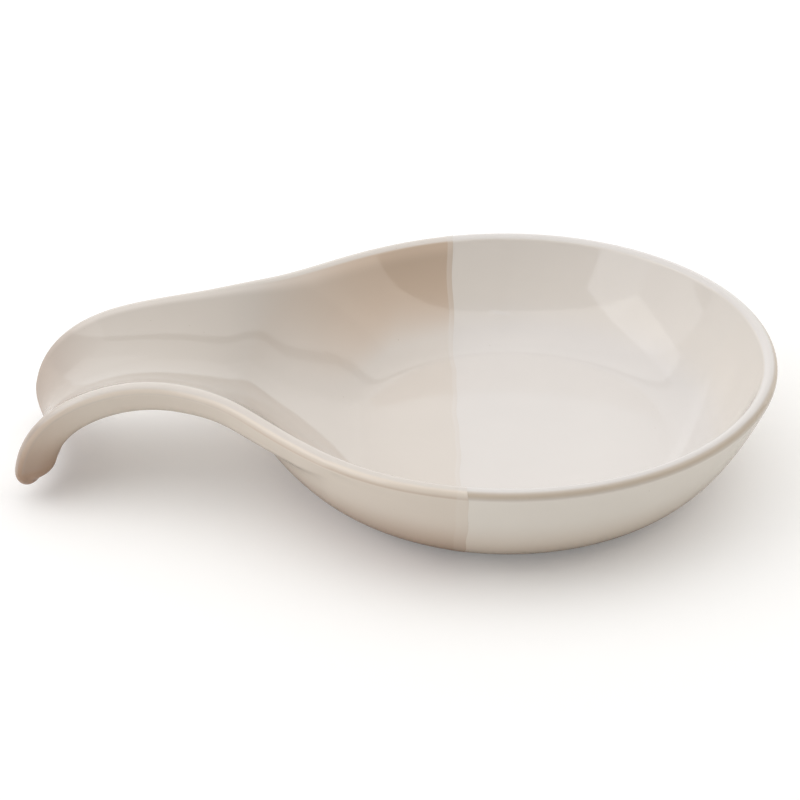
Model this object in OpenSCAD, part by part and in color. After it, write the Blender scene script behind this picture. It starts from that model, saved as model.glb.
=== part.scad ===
// Spoon rest, thrown and glazed stoneware: a round shallow bowl whose wall and rim
// run out on one side into a broad gutter of a handle. The handle lifts over a low
// arch and droops to a blunt tip that hangs just clear of the table.
// The fired clay is one piece. Two coats of glaze lie on it, one per dip: white on
// the bowl end, beige on the handle end. The foot ring is left bare to stand on.
// +X is the bowl end, -X the handle end, +Z up. The table is at z = 0.

/* [Bowl] */
// Width of the bowl over its rim
bowl_d = 155; // [130:1:180]
// Rim top down to the bowl floor
bowl_depth = 28; // [20:0.5:30]
// Width of the flat floor inside
floor_d = 94; // [70:1:110]
// How late the inside walls turn up, as a power
inside_sweep = 2; // [1.6:0.1:2.6]
// Thickness of the floor of the bowl, glaze included
floor_t = 6.2; // [4:0.1:9]
// Width of the flat underside
base_d = 99; // [80:1:115]
// How late the outside wall turns up, as a power
outside_sweep = 2.1; // [1.6:0.1:3]
// Radius of the full round rim
rim_r = 2.2; // [1.6:0.1:3]

/* [Foot ring] */
// Height of the bare foot below the underside
foot_h = 1; // [0.6:0.1:2.5]
// Width of the ring the piece stands on, chamfers included
foot_w = 5; // [3:0.5:8]
// Bare clay left between the foot and the glaze edge
foot_inset = 1.5; // [0.8:0.1:4]
// Chamfer of the foot edges
foot_chamfer = 0.5; // [0.2:0.1:0.8]

/* [Handle from above] */
// Turn past the widest point before the outline leaves the round, degrees
leave_turn = 11.8; // [4:0.1:20]
// Pull of the neck curve at the bowl
neck_pull_bowl = 47.9; // [30:0.1:60]
// Pull of the neck curve at the handle
neck_pull_handle = 47.7; // [30:0.1:60]
// Bowl centre to the place where the handle sides run parallel
neck_end = 114; // [105:1:125]
// Width of the handle over its rims
handle_w = 52.8; // [40:0.1:64]
// Corner radius of the tip, on the rim line
tip_corner = 5.8; // [3:0.1:10]

/* [Handle from the side] */
// Bowl centre to the start of the rise
rise_start = 29; // [15:1:40]
// Pull of the rise at its foot
rise_pull_low = 46.4; // [30:0.1:55]
// Pull of the rise at the crown
rise_pull_top = 28; // [15:0.5:35]
// Bowl centre to the crown of the arch
crown_x = 92.4; // [86:0.1:100]
// Height of the crown above the bowl rim
crown_h = 5.1; // [0:0.1:13]
// Pull of the droop at the crown
droop_pull_top = 27.5; // [15:0.5:35]
// Pull of the droop at the tip
droop_pull_tip = 24.4; // [15:0.1:35]
// Bowl centre to the tip
tip_x = 140.5; // [130:0.1:151]
// Height of the tip above the table
tip_lift = 4.1; // [3.5:0.1:14]
// Slope of the handle at the tip, degrees, 90 is straight down
tip_turn = 92; // [70:1:105]

/* [Ramp from the bowl up to the handle] */
// Bowl centre to the foot of the ramp
ramp_foot = 38.3; // [30:0.1:46]
// Bowl centre to the top of the ramp
ramp_top = 114; // [104:0.5:122]
// How gently the ramp levels out at its top, as a power
ramp_sweep = 1.72; // [1.2:0.01:2.2]
// How far the ramp curves round the bowl centre, 0 is straight across, 1 is a full round
ramp_round = 0.41; // [0:0.01:0.8]
// Bowl centre to where the side walls start to spread over the whole width
spread_start = 17.6; // [5:0.1:30]
// Bowl centre to where they reach the middle of the handle
spread_full = 106; // [95:0.5:115]

/* [Handle section] */
// Depth of the gutter below its rims
gutter_depth = 5.4; // [2:0.1:6.5]
// Share of half the width over which each side of the gutter curves
gutter_share = 0.946; // [0.7:0.001:1]
// Least thickness of the gutter floor and of the ramp
neck_t = 5.2; // [4:0.1:7]
// Height of the side below the rim
side_h = 9; // [6.5:0.1:12]
// Width of the rounded underside edge
side_round = 7; // [4:0.5:12]
// Softness of the line where the two undersides meet
under_blend = 7.5; // [3:0.5:12]

/* [Glaze] */
// Thickness of each glaze coat
glaze_t = 0.4; // [0.2:0.05:0.8]
// Bowl centre to the line where the two dips meet
dip_x = 12.8; // [9:0.1:30]

/* [Hidden] */
$fn = 96;

// Outline past the dip line: where the handle's own section starts and is full
section_start = 12;
section_full = 56;
// Height that keeps the handle section clear of the round bowl before it starts
section_lift = 40;
// The clay foot reaches this far up into the body
overrun = 1;
// Distance over which a slope is read off
probe = 0.5;
// Last mesh line from the tip edge, and the first one behind the tip corner
tip_gap = 3;
corner_gap = 8;
// Softness of the line where the side meets the underside of the ramp
neck_blend = 3;
// Length of straight handle side used when distances to the outline are measured
side_run = 80;

// Mesh counts: round the bowl to the dip line, to the neck, along the handle,
// round the tip corner and along half the tip
bowl_lines = 15;
neck_lines = 8;
side_lines = 14;
corner_lines = 3;
tip_lines = 3;
// Mesh rings: inside, round the rim, underside
top_rings = 9;
rim_rings = 7;
under_rings = 8;
// Crowding of the mesh rings towards the rim
top_crowd = 1.3;
under_crowd = 1.3;
// Crowding of the join between rim and underside
join_crowd = 6;
// Points on each drawn curve
curve_steps = 60;

// Rim top down to the flat underside, and down to the table
body_h = bowl_depth + floor_t;
lift = body_h + foot_h;
rim_line = bowl_d / 2 - rim_r;
floor_r = floor_d / 2;
base_r = base_d / 2;
handle_half = handle_w / 2 - rim_r;
foot_out = base_r - foot_inset;
foot_in = foot_out - foot_w;
dip_col = bowl_lines;
slit_col = bowl_lines + neck_lines;
corner_col = slit_col + side_lines;
half = corner_col + corner_lines + tip_lines;
cols = 2 * half;
rings = top_rings + rim_rings + under_rings;

// Small sums
function sq(v) = v * v;
function clamp(v, lo, hi) = max(lo, min(hi, v));
function ease(t) = let(c = clamp(t, 0, 1)) c * c * (3 - 2 * c);
function unit(v) = v / norm(v);
function cubic(a, b, c, d, t) =
    pow(1 - t, 3) * a + 3 * t * sq(1 - t) * b + 3 * sq(t) * (1 - t) * c + pow(t, 3) * d;
// The lower of two heights with the corner between them rounded over a height k
function soft_min(a, b, k) =
    let(h = k > 0 ? max(k - abs(a - b), 0) / k : 0) min(a, b) - pow(h, 3) * k / 6;
// Distance from a point to the straight line between two others
function to_line(p, a, b) = norm(p - a - clamp((p - a) * (b - a) / ((b - a) * (b - a)), 0, 1) * (b - a));

// Handle from the side: middle line of the rim tops, x and height
crown = [-crown_x, crown_h];
tip = [-tip_x, tip_lift - lift];
rise = [for (i = [0:curve_steps])
    cubic([-rise_start, 0], [-rise_start - rise_pull_low, 0], crown + [rise_pull_top, 0], crown, i / curve_steps)];
droop = [for (i = [1:curve_steps])
    cubic(crown, crown - [droop_pull_top, 0], tip + droop_pull_tip * [cos(tip_turn), sin(tip_turn)],
        tip, i / curve_steps)];
spine = concat(rise, droop);
spine_last = len(spine) - 1;
spine_run = [for (i = 0, s = 0; i <= spine_last; s = s + norm(spine[min(i + 1, spine_last)] - spine[i]), i = i + 1) s];
spine_dir = [for (i = [0:spine_last]) unit(spine[min(i + 1, spine_last)] - spine[max(i - 1, 0)])];
spine_x = [for (i = [0:spine_last]) [spine_run[i], spine[i][0]]];
spine_z = [for (i = [0:spine_last]) [spine_run[i], spine[i][1]]];
lean_x = [for (i = [0:spine_last]) [spine_run[i], spine_dir[i][1]]];
lean_z = [for (i = [0:spine_last]) [spine_run[i], -spine_dir[i][0]]];
spine_len = spine_run[spine_last];
handle_end = rise_start + spine_len;
tip_line = handle_end - rim_r;

// Handle from above, laid flat: half width of the rim line against distance from the bowl centre
leave = rim_line * [-sin(leave_turn), cos(leave_turn)];
neck = [for (i = [0:curve_steps])
    cubic(leave, leave - neck_pull_bowl * [cos(leave_turn), sin(leave_turn)],
        [neck_pull_handle - neck_end, handle_half], [-neck_end, handle_half], i / curve_steps)];
neck_w = [for (p = neck) [-p[0], p[1]]];
function half_w(u) = u > leave[0] ? sqrt(max(sq(rim_line) - sq(u), 0)) : lookup(-u, neck_w);
side_line = concat(neck, [[-neck_end - side_run, handle_half]]);
function to_side(p) = min([for (i = [1:len(side_line) - 1]) to_line(p, side_line[i - 1], side_line[i])]);
// Distance in from the side of the outline, negative outside it
function side_in(u, y) =
    let(
        p = [u, abs(y)],
        round_in = rim_line - norm(p),
        by_round = p[1] * leave[0] <= p[0] * leave[1]
    )
    u >= 0 ? round_in :
    by_round ? (round_in < 0 ? round_in : min(round_in, to_side(p))) :
    to_side(p) * (p[1] > half_w(u) ? -1 : 1);

// Where the walls meet the round of the rim
wall_out = atan(outside_sweep * (body_h - 2 * rim_r) / (rim_line + rim_r - base_r));
out_r = rim_line + rim_r * sin(wall_out);
out_h = -rim_r * (1 + cos(wall_out));

// Heights below the rim top, before the handle is bent over its arch
function section_off(u) = section_lift * ease((u + section_full) / (section_full - section_start));
function bowl_out(r) =
    -body_h + (body_h + out_h) * pow(clamp((r - base_r) / (out_r - base_r), 0, 1), outside_sweep);
function side(d) = -rim_r - side_h * sqrt(1 - sq(clamp(1 - (d + rim_r) / side_round, 0, 1)));
// Inside: a floor that climbs the ramp, between two walls that curve up to the rims
function top_h(u, y) =
    let(
        d = side_in(u, y),
        run = u > 0 ? 0 : norm([u, ramp_round * y]),
        k = ease(pow(clamp((ramp_top - run) / (ramp_top - ramp_foot), 0, 1), ramp_sweep)),
        full = ease((spread_full - run) / (spread_full - spread_start)),
        deep = gutter_depth + (bowl_depth - gutter_depth) * k,
        wide = gutter_share * half_w(u) * (1 - full) + (rim_line - floor_r) * full,
        lip = atan(inside_sweep * deep / (wide - rim_r / 2)),
        rise = pow(max(wide - d, 0) / (wide - rim_r * sin(lip)), inside_sweep)
    )
    -deep + (deep - rim_r * (1 - cos(lip))) * rise;
// Underside of the handle and the ramp: a rounded side, or the inside less the thickness
function handle_out(u, y, d) =
    soft_min(side(d), top_h(u, y) - neck_t * ease(d / (2 * side_round)), neck_blend * clamp(d / side_round, 0, 1));
function under_h(u, y) =
    let(d = side_in(u, y))
    soft_min(bowl_out(norm([u, y])), handle_out(u, y, d) + section_off(u),
        under_blend * clamp((d + rim_r) / side_round, 0, 1));

// Bend: a point at distance u along the handle, y across and h above the middle line
function bend(u, y, h) =
    let(
        s = clamp(-u - rise_start, 0, spine_len),
        past = max(-u - handle_end, 0),
        x = u >= -rise_start ? u : lookup(s, spine_x) + past * spine_dir[spine_last][0],
        z = lookup(s, spine_z) + past * spine_dir[spine_last][1],
        g = ease((norm([u, y]) - max(floor_r, base_r)) / (rim_line - max(floor_r, base_r)))
    )
    [u + g * (x + h * lookup(s, lean_x) - u), y, h + g * (z + h * lookup(s, lean_z) - h)];

// Rim line, laid flat, from the bowl end to the middle of the tip
dip_turn = acos(-dip_x / rim_line);
corner_u = -(tip_line - tip_corner);
corner_w = half_w(corner_u);
function rim_point(i) =
    i < dip_col ? rim_line * [cos(dip_turn * i / dip_col), sin(dip_turn * i / dip_col)] :
    i <= corner_col ? let(u = -dip_x + (corner_u + dip_x) * (i - dip_col) / (corner_col - dip_col)) [u, half_w(u)] :
    i <= corner_col + corner_lines ? let(a = 90 * (i - corner_col) / corner_lines)
        [corner_u - tip_corner * sin(a), corner_w - tip_corner * (1 - cos(a))] :
    [-tip_line, (corner_w - tip_corner) * (half - i) / tip_lines];
// Inner end of the same mesh line: on a circle of the bowl, then along the middle of the handle
function inner_point(i, r) =
    let(turn = acos(-dip_x / r), run = tip_line - tip_corner - corner_gap)
    i < slit_col ? let(a = i <= dip_col ? turn * i / dip_col : turn + (180 - turn) * (i - dip_col) / neck_lines)
        r * [cos(a), sin(a)] :
    i <= corner_col ? [-r - (run - r) * (i - slit_col) / side_lines, 0] :
    [-run - (tip_line - tip_gap - run) * (i - corner_col) / (half - corner_col), 0];
function fold(c) = c > half ? cols - c : c;
function mirror_y(p, c) = c > half ? [p[0], -p[1]] : p;
rim_at = [for (c = [0:cols - 1]) mirror_y(rim_point(fold(c)), c)];
floor_at = [for (c = [0:cols - 1]) mirror_y(inner_point(fold(c), floor_r), c)];
base_at = [for (c = [0:cols - 1]) mirror_y(inner_point(fold(c), base_r), c)];
out_at = [for (c = [0:cols - 1])
    let(d = rim_at[(c + 1) % cols] - rim_at[(c + cols - 1) % cols]) unit([d[1], -d[0]])];

// Where the round of the rim starts inside and ends outside, and the height of its centre
function steepness(a, b) = atan(max(a - b, 0) / probe);
turn_in = [for (c = [0:cols - 1])
    let(a = rim_at[c] - rim_r * out_at[c], b = a - probe * out_at[c])
    steepness(top_h(a[0], a[1]), top_h(b[0], b[1]))];
turn_out = [for (c = [0:cols - 1])
    let(a = rim_at[c] + rim_r * out_at[c] / 2, b = a - probe * out_at[c])
    steepness(under_h(a[0], a[1]), under_h(b[0], b[1]))];
edge_in = [for (c = [0:cols - 1]) rim_at[c] - rim_r * sin(turn_in[c]) * out_at[c]];
edge_out = [for (c = [0:cols - 1]) rim_at[c] + rim_r * sin(turn_out[c]) * out_at[c]];
rim_h = [for (c = [0:cols - 1]) top_h(edge_in[c][0], edge_in[c][1]) - rim_r * cos(turn_in[c])];
step_out = [for (c = [0:cols - 1])
    rim_h[c] - rim_r * cos(turn_out[c]) - under_h(edge_out[c][0], edge_out[c][1])];

// Glazed surface: ring 0 lies on the floor, the last ring on the underside
function top_point(c, t) =
    let(p = floor_at[c] + (edge_in[c] - floor_at[c]) * t) bend(p[0], p[1], top_h(p[0], p[1]));
function round_point(c, t) =
    let(a = 90 + turn_in[c] - (180 + turn_in[c] - turn_out[c]) * t, p = rim_at[c] + rim_r * cos(a) * out_at[c])
    bend(p[0], p[1], rim_h[c] + rim_r * sin(a));
function under_point(c, t) =
    let(p = base_at[c] + (edge_out[c] - base_at[c]) * t)
    bend(p[0], p[1], under_h(p[0], p[1]) + step_out[c] * pow(t, join_crowd));
skin = [for (j = [0:rings]) [for (c = [0:cols - 1])
    j <= top_rings ? top_point(c, 1 - pow(1 - j / top_rings, top_crowd)) :
    j <= top_rings + rim_rings ? round_point(c, (j - top_rings) / rim_rings) :
    under_point(c, 1 - pow((j - top_rings - rim_rings) / under_rings, under_crowd))]];

// Clay surface: the glazed surface set in by the glaze thickness, square to itself
function across(j, c) = let(k = min(c, half - 1)) skin[j][k] - skin[j][cols - k];
function along(j, c) = skin[j][min(c + 1, half)] - skin[j][c - 1];
function facing(j, c) =
    j == 0 && c <= slit_col ? [0, 0, 1] :
    j == rings && c <= slit_col ? [0, 0, -1] :
    j == 0 ? unit(cross(across(1, c), along(0, c))) :
    j == rings ? unit(cross(along(rings, c), across(rings - 1, c))) :
    unit(cross(skin[j + 1][c] - skin[j - 1][c], skin[j][(c + 1) % cols] - skin[j][(c + cols - 1) % cols]));
function end_ring(j) = j == 0 || j == rings;
function facing_all(j, c) =
    end_ring(j) && c > half ? let(v = facing(j, cols - c)) [v[0], -v[1], v[2]] : facing(j, c);
clay = [for (j = [0:rings]) [for (c = [0:cols - 1]) skin[j][c] - glaze_t * facing_all(j, c)]];

// The whole part is set on the table, centred on its length
all_x = [for (row = skin) each [for (p = row) p[0]]];
mid_x = (max(all_x) + min(all_x)) / 2;

// Both sides of the handle share the mesh points on its middle line
function shared(j, c) = end_ring(j) && c > half && cols - c >= slit_col ? cols - c : c;
// Point number in a patch whose first mesh line is c0 and which is w lines wide
function at(j, c, c0, w) = j * w + (shared(j, (c + cols) % cols) - c0 + cols) % cols;
function cell(j, c, c0, w) =
    let(a = at(j, c, c0, w), b = at(j, c + 1, c0, w), d = at(j + 1, c, c0, w), e = at(j + 1, c + 1, c0, w))
    [[a, b, e], [a, e, d]];
function sheet(c0, c1, w) = [for (j = [0:rings - 1]) for (c = [c0:c1 - 1]) each cell(j, c, c0, w)];
function turned(faces) = [for (f = faces) [for (i = [len(f) - 1:-1:0]) f[i]]];
function shifted(faces, by) = [for (f = faces) [for (v = f) v + by]];
// Mesh lines round the circle of the bowl, clockwise from above, for the two sides of the dip line
function right_lines() = [for (c = [dip_col:-1:-dip_col]) c];
function left_lines() = concat([for (c = [cols - dip_col:-1:cols - slit_col + 1]) c], [for (c = [slit_col:-1:dip_col]) c]);

module placed() {
    translate([-mid_x, 0, lift]) children();
}

// Fired clay: bowl, rim, handle and flat underside as one closed surface
module clay_shell() {
    floor_faces = [for (l = [right_lines(), left_lines()]) [for (c = l) at(0, c, 0, cols)]];
    base_face = [for (c = concat([for (c = [0:slit_col]) c], [for (c = [cols - slit_col + 1:cols - 1]) c]))
        at(rings, c, 0, cols)];
    polyhedron(
        points = [for (row = clay) each row],
        faces = concat(sheet(0, cols, cols), floor_faces, [base_face]));
}

// Turned foot: a plain ring with chamfered edges, standing flat on the table
module foot_ring() {
    top = -body_h + glaze_t + overrun;
    low = -body_h - foot_h;
    rotate_extrude()
        polygon([
            [foot_in, top],
            [foot_in, low + foot_chamfer],
            [foot_in + foot_chamfer, low],
            [foot_out - foot_chamfer, low],
            [foot_out, low + foot_chamfer],
            [foot_out, top]]);
}

module stoneware_body() {
    color([0.78, 0.68, 0.56])
        placed()
            union() {
                clay_shell();
                foot_ring();
            }
}

// One glaze coat: the skin between the clay and the glazed surface from mesh line c0 to c1,
// closed along the dip line and along the bare clay of the underside
module coat(c0, c1, floor_lines) {
    w = c1 - c0 + 1;
    count = w * (rings + 1);
    outside = concat(sheet(c0, c1, w), [[for (c = floor_lines) at(0, c, c0, w)]]);
    loop = concat(
        [for (j = [0:rings - 1]) at(j, c1, c0, w)],
        [for (i = [0:len(floor_lines) - 2]) at(rings, floor_lines[i], c0, w)],
        [for (j = [rings:-1:0]) at(j, c0, c0, w)]);
    edge = [for (i = [0:len(loop) - 1])
        let(a = loop[i], b = loop[(i + 1) % len(loop)])
        each [[b, a, a + count], [b, a + count, b + count]]];
    polyhedron(
        points = concat(
            [for (row = skin) for (c = [c0:c1]) row[(c + cols) % cols]],
            [for (row = clay) for (c = [c0:c1]) row[(c + cols) % cols]]),
        faces = concat(outside, shifted(turned(outside), count), edge));
}

module white_glaze() {
    color([0.93, 0.91, 0.88])
        placed()
            coat(-dip_col, dip_col, right_lines());
}

module beige_glaze() {
    color([0.80, 0.75, 0.69])
        placed()
            coat(dip_col, cols - dip_col, left_lines());
}

stoneware_body();
white_glaze();
beige_glaze();
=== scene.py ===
# %% [markdown]
# # A two-tone stoneware spoon rest
# The real piece is one lump of fired stoneware: a shallow round bowl whose wall and rim
# run out into a gutter-shaped handle. It was dipped twice, white at one end and beige at
# the other, and the foot it stands on was wiped bare. This lesson loads the measured
# frame, then makes the same three pieces again with a much finer surface and real glaze.

# %% Load the measured frame
import math

import bmesh
import bpy
import numpy as np
from mathutils import Matrix, Vector


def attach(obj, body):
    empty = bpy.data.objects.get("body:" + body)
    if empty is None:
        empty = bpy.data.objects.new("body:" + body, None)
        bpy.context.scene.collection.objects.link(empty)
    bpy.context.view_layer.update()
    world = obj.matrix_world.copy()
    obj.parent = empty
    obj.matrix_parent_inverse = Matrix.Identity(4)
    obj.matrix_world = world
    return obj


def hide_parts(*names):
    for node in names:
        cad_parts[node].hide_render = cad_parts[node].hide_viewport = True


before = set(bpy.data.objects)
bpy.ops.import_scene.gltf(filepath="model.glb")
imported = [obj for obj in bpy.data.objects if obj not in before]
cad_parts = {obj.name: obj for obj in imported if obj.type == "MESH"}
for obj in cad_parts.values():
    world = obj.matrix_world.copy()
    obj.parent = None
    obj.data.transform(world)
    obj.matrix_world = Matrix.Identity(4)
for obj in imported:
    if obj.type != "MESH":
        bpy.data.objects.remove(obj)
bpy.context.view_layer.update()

MM = 0.001

# %% [markdown]
# ## Four small helpers
# Colours are chosen as the eye sees them, as sRGB hex values, and Blender computes with
# linear light, so one function turns the first into the second. Another adds a shader or
# geometry node with its settings and its links in one call, which keeps the trees below
# readable, and a short form of it does sums. The last makes a mesh object from arrays.

# %% Helpers
def linear(hex_colour):
    shares = [int(hex_colour[i:i + 2], 16) / 255 for i in (1, 3, 5)]
    light = [c / 12.92 if c <= 0.04045 else ((c + 0.055) / 1.055) ** 2.4 for c in shares]
    return tuple(light) + (1.0,)


def add(tree, kind, settings=None, **inputs):
    """Adds one node. An input is named, or numbered as in _2, and takes a constant or a socket."""
    node = tree.nodes.new(kind)
    for name, value in (settings or {}).items():
        setattr(node, name, value)
    for name, value in inputs.items():
        numbered = name[0] == "_" and name[1:].isdigit()
        socket = node.inputs[int(name[1:]) if numbered else name.replace("_", " ")]
        if isinstance(value, bpy.types.NodeSocket):
            tree.links.new(value, socket)
        else:
            socket.default_value = value
    return node


def maths(tree, kind, *values):
    numbered = {f"_{k}": value for k, value in enumerate(values)}
    return add(tree, "ShaderNodeMath", {"operation": kind}, **numbered).outputs[0]


def mesh_object(name, points, faces):
    mesh = bpy.data.meshes.new(name)
    mesh.from_pydata([tuple(p) for p in points], [], faces)
    mesh.validate()
    thing = bpy.data.objects.new(name, mesh)
    bpy.context.scene.collection.objects.link(thing)
    return thing


# %% [markdown]
# ## The camera
# The photograph looks down on the long side by almost exactly 30 degrees, from about
# 0.8 m, with a long lens. The place was worked out from the outline of the object in the
# picture, so it is written here as the turn, the tilt and the distance of that view, and
# how far the middle of the rim lies from the centre of the picture.

# %% Camera
# Lengths in mm, angles in degrees. BOWL_X is the middle of the bowl in the frame.
BOWL_X = 31.2689
VIEW = {"turn": -0.891, "tilt": 29.948, "roll": -0.867, "distance": 781.08, "lens": 122.474,
        "sensor": 36, "rim_z": 35.2, "rim_to_right": 30.41, "rim_above": 13.99}
NEAREST, FARTHEST = 0.05, 20    # m that the camera sees
view_turn, view_tilt, view_roll = (math.radians(VIEW[key]) for key in ("turn", "tilt", "roll"))
forward = Vector((math.sin(view_turn) * math.cos(view_tilt),
                  math.cos(view_turn) * math.cos(view_tilt), -math.sin(view_tilt)))
level = Vector((math.cos(view_turn), -math.sin(view_turn), 0))
upright = level.cross(forward)
side_axis = level * math.cos(view_roll) + upright * math.sin(view_roll)
up_axis = upright * math.cos(view_roll) - level * math.sin(view_roll)
rim_middle = Vector((BOWL_X, 0, VIEW["rim_z"]))
view_centre = rim_middle - side_axis * VIEW["rim_to_right"] - up_axis * VIEW["rim_above"]
eye = (view_centre - forward * VIEW["distance"]) * MM

camera_data = bpy.data.cameras.new("camera")
camera_data.lens = VIEW["lens"]
camera_data.sensor_width = VIEW["sensor"]
camera_data.clip_start, camera_data.clip_end = NEAREST, FARTHEST
camera = bpy.data.objects.new("camera", camera_data)
view_axes = Matrix((side_axis, up_axis, -forward)).transposed().to_4x4()
camera.matrix_world = Matrix.Translation(eye) @ view_axes
bpy.context.scene.collection.objects.link(camera)
bpy.context.scene.camera = camera
print("camera at, mm:", [round(v / MM) for v in eye])

# %% [markdown]
# ## The studio
# A glossy pot shows its surroundings, so the lamps are part of the likeness. The curves
# of light in the photograph fit a white table, a bright wall behind it, a wide soft light
# overhead that reaches a little towards the camera, and a dark gap between the wall and
# the overhead light. Softer lights stand on the left, brightest in front, and only a
# faint one on the right. The side of the room behind the camera is dark.

# %% Lamps
scene = bpy.context.scene
scene.view_settings.view_transform = "Standard"

PANELS = {
    # name: (centre, facing, width, height, radiance, colour), in mm; radiance 1 is white
    "overhead_front": ((0, -180, 900), (0, 0, -1), 3200, 760, 1.28, "#FFFCF8"),
    "overhead_back": ((0, 450, 900), (0, 0, -1), 3200, 500, 0.9, "#FFFFFF"),
    "back_wall_low": ((300, 900, 252), (0, -1, 0), 2400, 496, 0.84, "#FFFFFF"),
    "back_wall_high": ((300, 900, 730), (0, -1, 0), 2400, 460, 0.64, "#FFFFFF"),
    "left_front": ((-900, -600, 605), (1, 0, 0), 600, 710, 1.6, "#F4F8FF"),
    "left_middle": ((-900, 0, 605), (1, 0, 0), 600, 710, 1.15, "#F8FAFF"),
    "left_back": ((-900, 600, 482), (1, 0, 0), 600, 956, 0.5, "#FFFFFF"),
    "right": ((1500, 0, 470), (-1, 0, 0), 1600, 900, 0.15, "#FFFFFF"),
}


def panel(name, centre, facing, width, height, radiance, colour):
    """A soft light box: an area lamp whose surface has the given radiance."""
    lamp = bpy.data.lights.new(name, "AREA")
    lamp.shape = "RECTANGLE"
    lamp.size, lamp.size_y = width * MM, height * MM
    lamp.color = linear(colour)[:3]
    lamp.energy = radiance * math.pi * lamp.size * lamp.size_y
    holder = bpy.data.objects.new(name, lamp)
    turned = Vector(facing).to_track_quat("-Z", "Y").to_matrix().to_4x4()
    holder.matrix_world = Matrix.Translation(Vector(centre) * MM) @ turned
    scene.collection.objects.link(holder)


for name, made in PANELS.items():
    panel(name, *made)
print("light panels:", len(PANELS))

# %% [markdown]
# ## Room and table
# What no lamp covers is a dim room. The camera itself sees plain white there. The pot
# stands on a big sheet of white paper, which keeps its soft shadow.

# %% Room and table
# The table lies a hair below the foot ring, so that the two never share one plane.
ROOM_GLOW, PAPER_GLOW = 0.23, 0.18
TABLE_HALF, TABLE_Z = 3.0, -0.05 * MM

world = bpy.data.worlds.new("room")
scene.world = world
world.use_nodes = True
tree = world.node_tree
tree.nodes.clear()
seen = add(tree, "ShaderNodeLightPath").outputs["Is Camera Ray"]
room = add(tree, "ShaderNodeBackground", Color=linear("#FFFDFA"), Strength=ROOM_GLOW)
white_back = add(tree, "ShaderNodeBackground", Color=(1, 1, 1, 1), Strength=1.0)
chosen = add(tree, "ShaderNodeMixShader", _0=seen, _1=room.outputs[0], _2=white_back.outputs[0])
add(tree, "ShaderNodeOutputWorld", Surface=chosen.outputs[0])

sheet = [(x * TABLE_HALF, y * TABLE_HALF, TABLE_Z) for x, y in ((-1, -1), (1, -1), (1, 1), (-1, 1))]
floor = mesh_object("table_top", sheet, [(0, 1, 2, 3)])
# Matt white paper: it has no gloss, so the pot leaves a soft shadow on it and no mirror
# image. A little glow, for the camera only, lifts it to the white ground of the photograph.
paper = bpy.data.materials.new("matt white paper")
paper.use_nodes = True
tree = paper.node_tree
tree.nodes.clear()
seen = add(tree, "ShaderNodeLightPath").outputs["Is Camera Ray"]
matt = add(tree, "ShaderNodeBsdfDiffuse", Color=linear("#EEEEEE"))
thrown_light = add(tree, "ShaderNodeBsdfDiffuse", Color=linear("#ECEAE7"))
glow = add(tree, "ShaderNodeEmission", Color=(1, 1, 1, 1), Strength=PAPER_GLOW)
both = add(tree, "ShaderNodeAddShader", _0=matt.outputs[0], _1=glow.outputs[0])
shown = add(tree, "ShaderNodeMixShader", _0=seen, _1=thrown_light.outputs[0], _2=both.outputs[0])
add(tree, "ShaderNodeOutputMaterial", Surface=shown.outputs[0])
floor.data.materials.append(paper)
print("table:", 2 * TABLE_HALF, "m wide, of", paper.name)

# %% [markdown]
# ## Sizes of the pot, and its guide lines
# Every size is the one that the frame was built with, in millimetres. Three guide lines
# carry the form. One is the outline seen from above, laid flat: a circle that a curve
# leads into the straight sides of the handle. The other two are the handle seen from the
# side: a curve that rises to the crown of the arch, and one that droops to the tip.

# %% Sizes and guide lines
SIZE = {
    # the bowl's inside, with the power of the curve of its wall, and the clay under it
    "bowl_d": 155, "bowl_depth": 28, "floor_d": 94, "inside_sweep": 2, "floor_t": 6.2,
    # its outside, and the radius of the rim
    "base_d": 99, "outside_sweep": 2.1, "rim_r": 2.2,
    # the foot ring
    "foot_h": 1, "foot_w": 5, "foot_inset": 1.5, "foot_chamfer": 0.5,
    # the outline: where the neck leaves the circle, and the pull of its curve at each end
    "leave_turn": 11.8, "neck_pull_bowl": 47.9, "neck_pull_handle": 47.7, "neck_end": 114,
    "handle_w": 52.8, "tip_corner": 5.8,
    # the side view: the rise to the crown, and the droop to the tip
    "rise_start": 29, "rise_pull_low": 46.4, "rise_pull_top": 28, "crown_x": 92.4, "crown_h": 5.1,
    "droop_pull_top": 27.5, "droop_pull_tip": 24.4, "tip_x": 140.5, "tip_lift": 4.1, "tip_turn": 92,
    # the ramp out of the bowl, and where the walls close in from the bowl's to the gutter's
    "ramp_foot": 38.3, "ramp_top": 114, "ramp_sweep": 1.72, "ramp_round": 0.41,
    "spread_start": 17.6, "spread_full": 106, "gutter_depth": 5.4, "gutter_share": 0.946,
    # the underside of neck and handle
    "neck_t": 5.2, "neck_blend": 3, "side_h": 9, "side_round": 7, "under_blend": 7.5,
    "section_start": 12, "section_full": 56, "section_lift": 40,
    # the glaze, and how near the mesh's slit comes to the tip
    "glaze_t": 0.4, "dip_x": 12.8, "tip_gap": 3, "corner_gap": 8,
}
body_h = SIZE["bowl_depth"] + SIZE["floor_t"]
lift = body_h + SIZE["foot_h"]
rim_r = SIZE["rim_r"]
rim_line = SIZE["bowl_d"] / 2 - rim_r
floor_r, base_r = SIZE["floor_d"] / 2, SIZE["base_d"] / 2
handle_half = SIZE["handle_w"] / 2 - rim_r


def cubic(a, b, c, d, steps=600):
    t = np.linspace(0, 1, steps + 1)[:, None]
    a, b, c, d = (np.asarray(p, float) for p in (a, b, c, d))
    return (1 - t) ** 3 * a + 3 * t * (1 - t) ** 2 * b + 3 * t ** 2 * (1 - t) * c + t ** 3 * d


def ease(t):
    t = np.clip(t, 0, 1)
    return t * t * (3 - 2 * t)


def towards(angle):
    return np.array([math.cos(angle), math.sin(angle)])


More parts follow.
